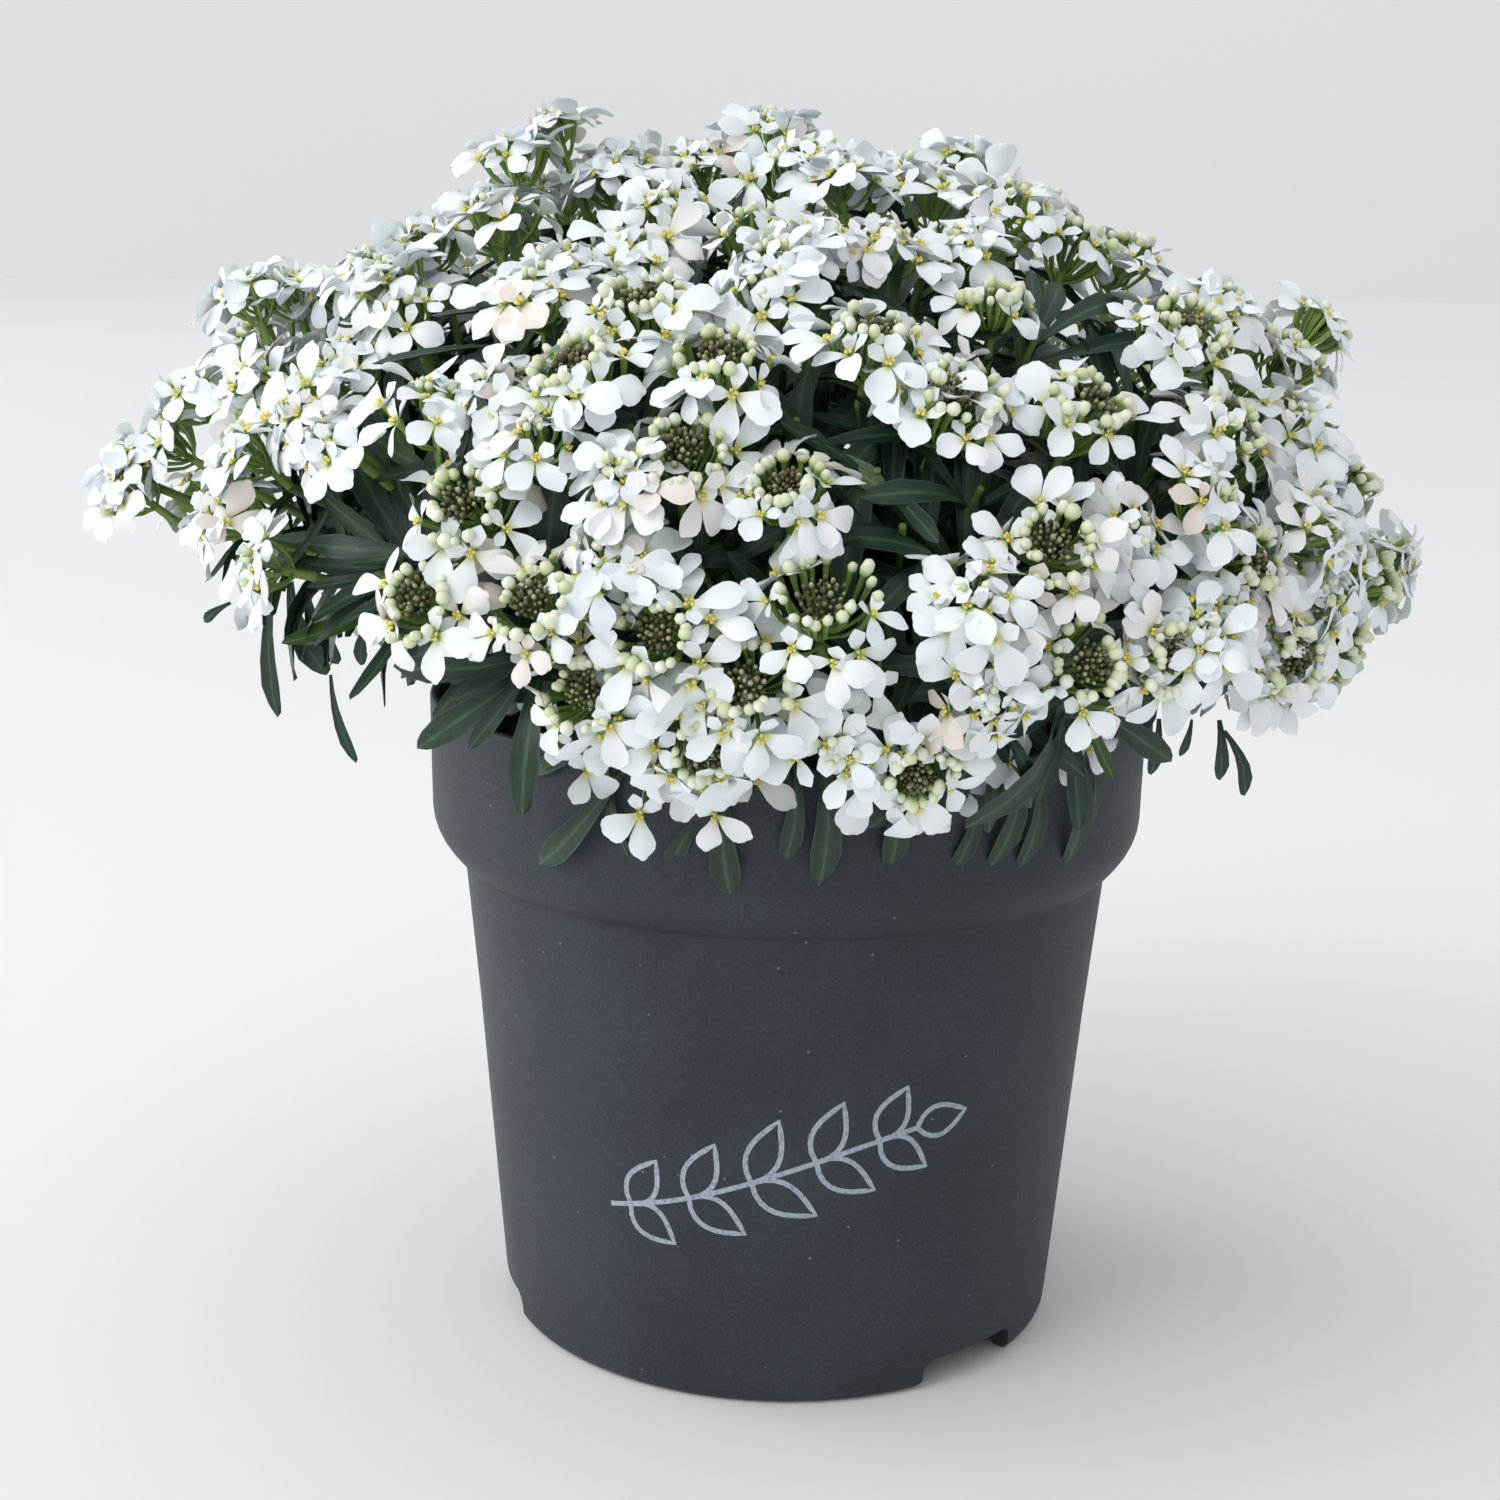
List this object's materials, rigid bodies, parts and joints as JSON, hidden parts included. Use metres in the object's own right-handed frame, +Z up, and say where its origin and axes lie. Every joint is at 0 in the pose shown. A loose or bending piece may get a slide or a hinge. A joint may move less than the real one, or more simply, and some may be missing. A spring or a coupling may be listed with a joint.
{
  "type": "potted evergreen candytuft",
  "caption": "Round plastic nursery pot with a wide plain collar, holding a domed evergreen candytuft: narrow dark leaves under dense white flower heads.",
  "frame": {"origin": "centre of the pot's foot, on the surface it stands on", "axes": "+Z up along the pot's axis; -Y toward the side the picture shows; +X to the right as the picture shows it"},
  "size_m": [0.2354, 0.2119, 0.2173],
  "materials": {
    "pot": "matte",
    "soil": "matte",
    "leaves": "satin",
    "petals": "matte"
  },
  "bodies": {
    "root": {"bloom_01": "petals", "bloom_02": "petals", "bloom_03": "petals", "bloom_04": "petals", "bloom_05": "petals", "bloom_06": "petals", "bloom_07": "petals", "bloom_08": "petals", "bloom_09": "petals", "bloom_10": "petals", "bloom_11": "petals", "bloom_12": "petals", "bloom_13": "petals", "bloom_14": "petals", "bloom_15": "petals", "bloom_16": "petals", "bloom_17": "petals", "bloom_18": "petals", "bloom_19": "petals", "bloom_20": "petals", "bloom_21": "petals", "bloom_22": "petals", "bloom_23": "petals", "bloom_24": "petals", "bloom_25": "petals", "bloom_26": "petals", "bloom_27": "petals", "bloom_28": "petals", "bloom_29": "petals", "bloom_30": "petals", "bloom_31": "petals", "bloom_32": "petals", "bloom_33": "petals", "bloom_34": "petals", "bloom_35": "petals", "bloom_36": "petals", "bloom_37": "petals", "bloom_38": "petals", "bloom_39": "petals", "bloom_40": "petals", "bloom_41": "petals", "bloom_42": "petals", "leafy_branch_01": "leaves", "leafy_branch_02": "leaves", "leafy_branch_03": "leaves", "leafy_branch_04": "leaves", "leafy_branch_05": "leaves", "leafy_branch_06": "leaves", "leafy_branch_07": "leaves", "leafy_branch_08": "leaves", "leafy_branch_09": "leaves", "leafy_branch_10": "leaves", "leafy_branch_11": "leaves", "leafy_branch_12": "leaves", "pot": "pot", "soil": "soil"}
  },
  "joints": []
}
